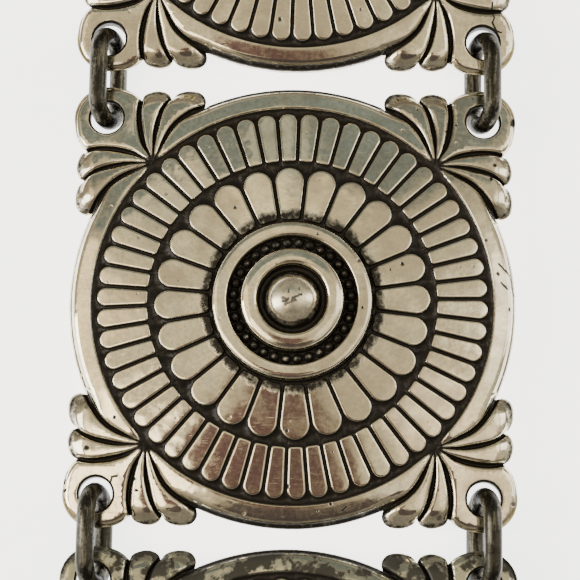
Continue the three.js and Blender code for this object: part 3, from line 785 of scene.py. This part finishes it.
class Graph:
    """The nodes of a material or world, made one by one."""

    def __init__(self, owner):
        owner.use_nodes = True
        self.tree = owner.node_tree
        self.tree.nodes.clear()

    def make(self, kind, inputs=None, **settings):
        made = self.tree.nodes.new(kind)
        for name, value in settings.items():
            setattr(made, name, value)
        for key, value in (inputs or {}).items():
            if isinstance(value, bpy.types.NodeSocket):
                self.tree.links.new(value, made.inputs[key])
            else:
                made.inputs[key].default_value = value
        return made

    def math(self, operation, a, b=0.0):
        return self.make("ShaderNodeMath", {0: a, 1: b}, operation=operation).outputs[0]

    def step(self, value, low, high, start=0.0, stop=1.0):
        inputs = {"Value": value, "From Min": low, "From Max": high, "To Min": start, "To Max": stop}
        return self.make("ShaderNodeMapRange", inputs, interpolation_type="SMOOTHSTEP").outputs[0]

    def mix(self, factor, a, b):
        inputs = {0: factor, 6: a, 7: b}
        return self.make("ShaderNodeMix", inputs, data_type="RGBA").outputs[2]

    def noise(self, vector, scale, detail=3.0, roughness=0.55):
        inputs = {"Vector": vector, "Scale": scale, "Detail": detail, "Roughness": roughness}
        return self.make("ShaderNodeTexNoise", inputs).outputs["Fac"]

    def stretched(self, vector, scale, turn=0.0):
        inputs = {"Vector": vector, "Rotation": (0, 0, turn), "Scale": scale}
        return self.make("ShaderNodeMapping", inputs).outputs["Vector"]

    def millimetres(self):
        place = self.make("ShaderNodeTexCoord").outputs["Object"]
        return self.vector_math("SCALE", {0: place, 3: 1 / MM})

    def dots(self, vector, scale, size, share):
        """Small round spots of differing size, in a share of the cells."""
        cells = self.make("ShaderNodeTexVoronoi", {"Vector": vector, "Scale": scale})
        chances = self.make("ShaderNodeSeparateColor", {0: cells.outputs["Color"]}).outputs
        grown = self.math("DIVIDE", cells.outputs["Distance"], self.math("ADD", chances[1], 0.35))
        spot = self.step(grown, size * 0.45, size, 1.0, 0.0)
        return self.math("MULTIPLY", spot, self.math("GREATER_THAN", chances[0], 1 - share))

    def scratches(self, vector, turn, fine=1.0):
        """Thin lines in one direction, broken up by a wider noise."""
        stretched = self.stretched(vector, (0.12, 5.5 * fine, 5.5 * fine), turn)
        lines = self.step(self.noise(stretched, 1.0, 2.0, 0.5), 0.66, 0.74)
        broken = self.step(self.noise(vector, 0.32, 2.0), 0.48, 0.62)
        return self.math("MULTIPLY", lines, broken)

    def vector_math(self, operation, inputs, output="Vector"):
        made = self.make("ShaderNodeVectorMath", inputs, operation=operation)
        return made.outputs[output]

    def stroke(self, vector, centre, mark, ragged):
        """A dark stroke from one point to another beside centre, seen from above."""
        start = (mark["x"] + centre[0], mark["y"] + centre[1], 0.0)
        run = np.array([mark["dx"], mark["dy"], 0.0])
        flat = self.vector_math("MULTIPLY", {0: vector, 1: (1, 1, 0)})
        place = self.vector_math("SUBTRACT", {0: flat, 1: start})
        scaled = tuple(run / max(run @ run, 1e-6))
        share = self.vector_math("DOT_PRODUCT", {0: place, 1: scaled}, "Value")
        share = self.make("ShaderNodeClamp", {"Value": share}).outputs[0]
        near = self.vector_math("SCALE", {0: tuple(run), 3: share})
        away = self.vector_math("DISTANCE", {0: place, 1: near}, "Value")
        shift = self.math("MULTIPLY", self.math("SUBTRACT", ragged, 0.5), mark["ragged"])
        away = self.math("ADD", away, shift)
        return self.step(away, mark["radius"] * 0.6, mark["radius"] * 1.2, mark["dark"], 0.0)

    def surface(self, shader_inputs):
        shader = self.make("ShaderNodeBsdfPrincipled", shader_inputs)
        self.make("ShaderNodeOutputMaterial", {"Surface": shader.outputs["BSDF"]})


def silver_material(centre):
    """Worn silver-toned casting with blackened recesses, painted shade on steep flanks and edges,
    and marks round the concho at centre.
    """
    material = bpy.data.materials.new("cast_silver_tone")
    graph = Graph(material)
    mm = graph.millimetres()
    along = graph.make("ShaderNodeSeparateXYZ", {0: mm}).outputs
    worn_top = graph.step(along["Z"], BACK_HEIGHT + 7.45, BACK_HEIGHT + 7.8)
    border = centre[1] - PITCH / 2
    neighbour = graph.step(along["Y"], border - 0.1, border + 0.1, 1.0, 0.0)
    far_edge = graph.math("GREATER_THAN", along["Y"], border - PITCH)
    neighbour = graph.math("MULTIPLY", neighbour, far_edge)
    patina_and_shade = graph.make("ShaderNodeAttribute", attribute_name="patina_and_shade").outputs["Fac"]
    fine = graph.noise(mm, 1.7, 5.0, 0.65)
    middle = graph.noise(mm, 0.42, 4.0)
    broad = graph.noise(mm, 0.07, 3.0)

    # Patina in the recesses and painted shade on steep flanks and edges, with a ragged edge
    ragged = graph.math("MULTIPLY", graph.math("SUBTRACT", fine, 0.5), 0.5)
    wider = graph.math("MULTIPLY", graph.math("SUBTRACT", middle, 0.5), 0.4)
    ragged = graph.math("ADD", ragged, wider)
    patina_and_shade_mask = graph.step(graph.math("ADD", patina_and_shade, ragged), 0.33, 0.6)
    clusters = graph.step(broad, 0.45, 0.62, 0.25, 1.0)
    pits = graph.math("MULTIPLY", graph.dots(mm, 0.5, 0.16, 0.3), clusters)
    specks = graph.math("MULTIPLY", graph.dots(mm, 1.6, 0.17, 0.1), clusters)
    dark = graph.math("MAXIMUM", patina_and_shade_mask, graph.math("MAXIMUM", pits, specks))
    near_border = graph.step(along["Y"], border - 9, border - 3, 0.0, 0.12)
    blotches = graph.math("ADD", graph.noise(mm, 0.3, 5.0, 0.65), near_border)
    blotches = graph.math("MULTIPLY", graph.step(blotches, 0.55, 0.64), neighbour)
    dark = graph.math("MAXIMUM", dark, graph.math("MULTIPLY", blotches, 0.9))
    for mark in MARKS:
        dark = graph.math("MAXIMUM", dark, graph.stroke(mm, centre, mark, fine))
    scratched = graph.math("MAXIMUM", graph.scratches(mm, 0.5), graph.scratches(mm, 1.9, 1.3))

    tarnish = graph.step(graph.math("ADD", broad, graph.math("MULTIPLY", middle, 0.5)), 0.66, 0.9)
    cloud = graph.step(graph.noise(mm, 0.24, 4.0, 0.6), 0.42, 0.66)
    warm = graph.step(graph.noise(mm, 0.15, 3.0, 0.6), 0.45, 0.7)
    metal = graph.mix(graph.step(fine, 0.3, 0.7), (0.6, 0.55, 0.41, 1), (0.87, 0.8, 0.61, 1))
    metal = graph.mix(graph.math("MULTIPLY", cloud, 0.4), metal, (0.58, 0.58, 0.48, 1))
    metal = graph.mix(graph.math("MULTIPLY", warm, 0.3), metal, (0.64, 0.53, 0.4, 1))
    metal = graph.mix(graph.math("MULTIPLY", tarnish, 0.6), metal, (0.36, 0.32, 0.25, 1))
    metal = graph.mix(graph.math("MULTIPLY", neighbour, 0.6), metal, (0.33, 0.35, 0.27, 1))
    metal = graph.mix(graph.math("MULTIPLY", scratched, 0.45), metal, (0.3, 0.26, 0.2, 1))
    black = graph.mix(middle, (0.006, 0.005, 0.004, 1), (0.02, 0.017, 0.013, 1))
    metal = graph.mix(dark, metal, (0.36, 0.36, 0.32, 1))
    colour = graph.mix(dark, metal, black)

    rough = graph.step(graph.math("ADD", fine, middle), 0.8, 1.2, 0.045, 0.1)
    rough = graph.math("ADD", rough, graph.math("MULTIPLY", tarnish, 0.06))
    rough = graph.math("ADD", rough, graph.math("MULTIPLY", dark, 0.3))
    rough = graph.math("ADD", rough, graph.math("MULTIPLY", worn_top, 0.2))
    metallic = graph.math("SUBTRACT", 1.0, graph.math("MULTIPLY", dark, 0.8))
    uneven = graph.math("MULTIPLY", graph.noise(mm, 0.3, 2.0, 0.4), 0.045)
    grain = graph.math("MULTIPLY", graph.noise(mm, 2.0, 2.0), graph.math("ADD", patina_and_shade_mask, 0.03))
    height = graph.math("ADD", uneven, graph.math("MULTIPLY", grain, 0.07))
    height = graph.math("SUBTRACT", height, graph.math("MULTIPLY", pits, 0.07))
    height = graph.math("SUBTRACT", height, graph.math("MULTIPLY", scratched, 0.004))
    bump = graph.make("ShaderNodeBump", {"Strength": 1.0, "Distance": MM, "Height": height})
    graph.surface({
        "Base Color": colour,
        "Metallic": metallic,
        "Roughness": rough,
        "Specular IOR Level": 0.25,
        "Normal": bump.outputs[0],
    })
    return material


def wire_material():
    """Oxidised wire, rubbed bright in streaks along its strands."""
    material = bpy.data.materials.new("dark_wire")
    graph = Graph(material)
    mm = graph.millimetres()
    fine = graph.noise(mm, 2.2, 5.0, 0.65)
    middle = graph.noise(mm, 0.5, 3.0)
    streaks = graph.noise(graph.stretched(mm, (1.5, 0.16, 1.5)), 1.0, 4.0, 0.6)
    rubbed = graph.step(graph.math("ADD", streaks, graph.math("MULTIPLY", fine, 0.4)), 0.68, 0.84)
    dull = graph.mix(middle, (0.012, 0.012, 0.01, 1), (0.055, 0.052, 0.043, 1))
    colour = graph.mix(graph.math("MULTIPLY", rubbed, 0.38), dull, (0.27, 0.26, 0.22, 1))
    rough = graph.step(fine, 0.3, 0.7, 0.25, 0.45)
    height = graph.math("MULTIPLY", graph.math("ADD", graph.noise(mm, 1.2, 2.0), streaks), 0.05)
    bump = graph.make("ShaderNodeBump", {"Strength": 1.0, "Distance": MM, "Height": height})
    graph.surface({
        "Base Color": colour,
        "Metallic": 1.0,
        "Roughness": rough,
        "Normal": bump.outputs[0],
    })
    return material


def floor_material():
    material = bpy.data.materials.new("pale_floor")
    graph = Graph(material)
    graph.surface({
        "Base Color": (0.92, 0.92, 0.92, 1),
        "Roughness": 0.8,
        "Specular IOR Level": 0.1,
        "Emission Color": (1, 1, 1, 1),
        "Emission Strength": 3.2,
    })
    return material


def studio_world():
    world = bpy.data.worlds.new("studio")
    graph = Graph(world)
    place = graph.make("ShaderNodeTexCoord").outputs["Generated"]
    colour = (*BACKDROP, 1)
    for patch in PATCHES:
        x, y = math.tan(math.radians(patch["x"])), math.tan(math.radians(patch["y"]))
        towards = np.array([x, y, 1]) / math.sqrt(x * x + y * y + 1)
        aligned = graph.vector_math("DOT_PRODUCT", {0: place, 1: tuple(towards)}, "Value")
        full, none = (math.cos(math.radians(patch[k])) for k in ("full", "none"))
        colour = graph.mix(graph.step(aligned, none, full), colour, (*patch["colour"], 1))
    shade = graph.make("ShaderNodeBackground", {"Color": colour, "Strength": 1.0})
    graph.make("ShaderNodeOutputWorld", {"Surface": shade.outputs[0]})
    return world


def softbox(name, place, size, power, colour):
    """A rectangular light aimed at the belt's middle."""
    light = bpy.data.lights.new(name, "AREA")
    light.shape = "RECTANGLE"
    light.size, light.size_y = size
    light.energy = power
    light.color = colour
    made = bpy.data.objects.new(name, light)
    place = Vector(place)
    turn = place.to_track_quat("Z", "Y").to_matrix().to_4x4()
    made.matrix_world = Matrix.Translation(place) @ turn
    bpy.context.scene.collection.objects.link(made)


def link_data():
    """A closed oval of round wire in the YZ plane."""
    bow = STRAND_SPACING / 2
    straight = LINK_LENGTH / 2 - bow
    turn = np.linspace(0, math.pi, 17)
    run = np.linspace(-straight, straight, 9)[1:-1]
    centre = np.vstack([
        np.column_stack([straight + bow * np.sin(turn), bow * np.cos(turn)]),
        np.column_stack([run[::-1], np.full(len(run), -bow)]),
        np.column_stack([-straight - bow * np.sin(turn), -bow * np.cos(turn)]),
        np.column_stack([run, np.full(len(run), bow)]),
    ])
    out = np.vstack([
        np.column_stack([np.sin(turn), np.cos(turn)]),
        np.tile((0.0, -1.0), (len(run), 1)),
        np.column_stack([-np.sin(turn), -np.cos(turn)]),
        np.tile((0.0, 1.0), (len(run), 1)),
    ])
    sides = np.arange(20) * 2 * math.pi / 20
    points = np.zeros((len(centre), len(sides), 3))
    points[..., 0] = WIRE_RADIUS * np.sin(sides)
    points[..., 1:] = centre[:, None] + WIRE_RADIUS * np.cos(sides)[None, :, None] * out[:, None]
    ids = np.arange(points.shape[0] * points.shape[1]).reshape(points.shape[:2])
    along, around = np.roll(ids, -1, axis=0), np.roll(ids, -1, axis=1)
    both = np.roll(along, -1, axis=1)
    faces = np.stack([ids, along, both, around], -1).reshape(-1, 4)
    return points.reshape(-1, 3), faces


def clasp_data():
    """A flat plate with two eyes and two hooks, its edges rounded. The eyes are on y = 0."""
    outer = CLASP_THROAT / 2 + CLASP_WALL
    hook_y = -(CLASP_BAR_DEPTH + CLASP_THROAT + CLASP_WALL / 2 + CLASP_FINGER)

    def arc(x, y, radius, start, stop):
        return (x, y) + polar(radius, np.radians(np.linspace(start, stop, 15)))

    right = np.vstack([
        arc(HOLE_OFFSET, 0, CLASP_EYE_WALL, 90, 10),
        arc(HOLE_OFFSET, hook_y, outer, 0, -180),
        arc(HOLE_OFFSET - outer + CLASP_WALL / 2, hook_y + CLASP_FINGER, CLASP_WALL / 2, 180, 0),
        arc(HOLE_OFFSET, hook_y, CLASP_THROAT / 2, -180, 0),
        [(HOLE_OFFSET + CLASP_THROAT / 2, -CLASP_BAR_DEPTH)],
    ])
    outline = np.vstack([right, right[::-1] * (-1, 1)])[::-1]
    half = CLASP_THICKNESS / 2
    sheet = Sheet()
    edge = sheet.row(outline, half - 0.45, closed=True)
    for depth, drop in ((0.08, 0.25), (0.22, 0.09), (0.42, 0.0)):
        sheet.row(inset(outline, depth), half - drop, line=False)
    holes = []
    for side in (-1, 1):
        middle = np.array([side * HOLE_OFFSET, 0.0])
        holes.append(sheet.row(middle + circle(CLASP_EYE, 40), half - 0.35, closed=True))
        sheet.row(middle + circle(CLASP_EYE + 0.1, 40), half - 0.12)
        sheet.row(middle + circle(CLASP_EYE + 0.3, 40), half)
    points, _, faces, where = sheet.mesh(edge, holes)
    count = len(points)
    rims = [wall(where[edge] + count, where[edge])]
    rims += [wall(where[hole] + count, where[hole])[:, ::-1] for hole in holes]
    both = np.vstack([points, points * (1, 1, -1)])
    return both, np.vstack([faces, faces[:, ::-1] + count, *rims])


def box_mm(node):
    """The two corners of a node's box, in millimetres."""
    low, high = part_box(node)
    return np.array(low) / MM, np.array(high) / MM


def back_middle(node):
    """The middle of a node's box, on the box's lowest level."""
    low, high = box_mm(node)
    return np.array([(low[0] + high[0]) / 2, (low[1] + high[1]) / 2, low[2]])


def add_conchos(silver):
    points, patina_and_shade, faces = concho_mesh_data()
    for number in range(1, 11):
        node = f"concho_{number:02d}"
        piece = mesh_object(f"{node}_cast", points + back_middle(node), faces, patina_and_shade)
        piece.data.materials.append(silver)
        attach(piece, "root")
        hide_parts(node)


def add_links(wire):
    """Pairs of links, each leaning outwards with its lower strand on the floor."""
    points, faces = link_data()
    x, y, z = points.T
    names = ["clasp"] + [f"{k:02d}_{k + 1:02d}" for k in range(1, 10)] + ["catch"]
    for name, lean in zip(names, LINK_LEANS):
        for side_name, side in (("left", -1), ("right", 1)):
            node = f"link_{name}_{side_name}"
            low, high = box_mm(node)
            angle = side * math.radians(lean)
            height = WIRE_RADIUS + STRAND_SPACING / 2 * math.cos(angle)
            leaned = np.column_stack([
                x * math.cos(angle) + z * math.sin(angle) + side * HOLE_OFFSET,
                y + (low[1] + high[1]) / 2,
                z * math.cos(angle) - x * math.sin(angle) + height,
            ])
            piece = mesh_object(f"{node}_wire", leaned, faces)
            piece.data.materials.append(wire)
            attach(piece, "root")
            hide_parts(node)


def add_clasp(silver):
    """The clasp, drooping from its links to the floor."""
    points, faces = clasp_data()
    low, high = box_mm("clasp_hook")
    reach = CLASP_BAR_DEPTH + 1.5 * CLASP_THROAT + 1.5 * CLASP_WALL + CLASP_FINGER
    droop = math.asin(BACK_HEIGHT / (reach + CLASP_EYE / 2))
    x, y, z = points.T
    drooped = np.column_stack([
        x,
        y * math.cos(droop) - z * math.sin(droop),
        y * math.sin(droop) + z * math.cos(droop),
    ])
    height = math.sin(droop) * reach + math.cos(droop) * CLASP_THICKNESS / 2
    drooped += (0, high[1] - drooped[:, 1].max(), height)
    piece = mesh_object("clasp_hook_cast", drooped, faces, np.zeros(len(drooped)))
    piece.data.materials.append(silver)
    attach(piece, "root")
    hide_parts("clasp_hook")


def add_floor():
    turns = ((-1, -1), (1, -1), (1, 1), (-1, 1))
    corners = [(x * FLOOR_HALF, y * FLOOR_HALF, 0) for x, y in turns]
    floor = mesh_object("floor", corners, [(0, 1, 2, 3)])
    floor.data.materials.append(floor_material())


def add_camera():
    """The camera, which looks at the middle concho as the photo does."""
    tilt, lean, roll = (math.radians(a) for a in (CAMERA_TILT, CAMERA_LEAN, CAMERA_ROLL))
    turn = Matrix.Rotation(roll, 3, "Z") @ Matrix.Rotation(tilt, 3, "X")
    turn = (turn @ Matrix.Rotation(lean, 3, "Y")).transposed()
    place = back_middle(TARGET) + np.array(turn) @ np.array(CAMERA_PLACE)
    data = bpy.data.cameras.new("camera")
    data.sensor_width = SENSOR_WIDTH
    data.lens = SENSOR_WIDTH * FOCAL_PIXELS / PICTURE_PIXELS
    data.clip_start = 0.01
    camera = bpy.data.objects.new("camera", data)
    camera.matrix_world = Matrix.Translation(place * MM) @ turn.to_4x4()
    bpy.context.scene.collection.objects.link(camera)
    bpy.context.scene.camera = camera


silver = silver_material(back_middle(TARGET))
add_conchos(silver)
add_links(wire_material())
add_clasp(silver)
add_floor()
add_camera()

bpy.context.scene.world = studio_world()
softbox("window_left", (-0.9, -0.15, 0.55), (0.5, 0.7), 9, (1.0, 0.97, 0.9))
softbox("window_right", (0.9, 0.15, 0.45), (0.35, 0.6), 2, (1.0, 0.96, 0.88))
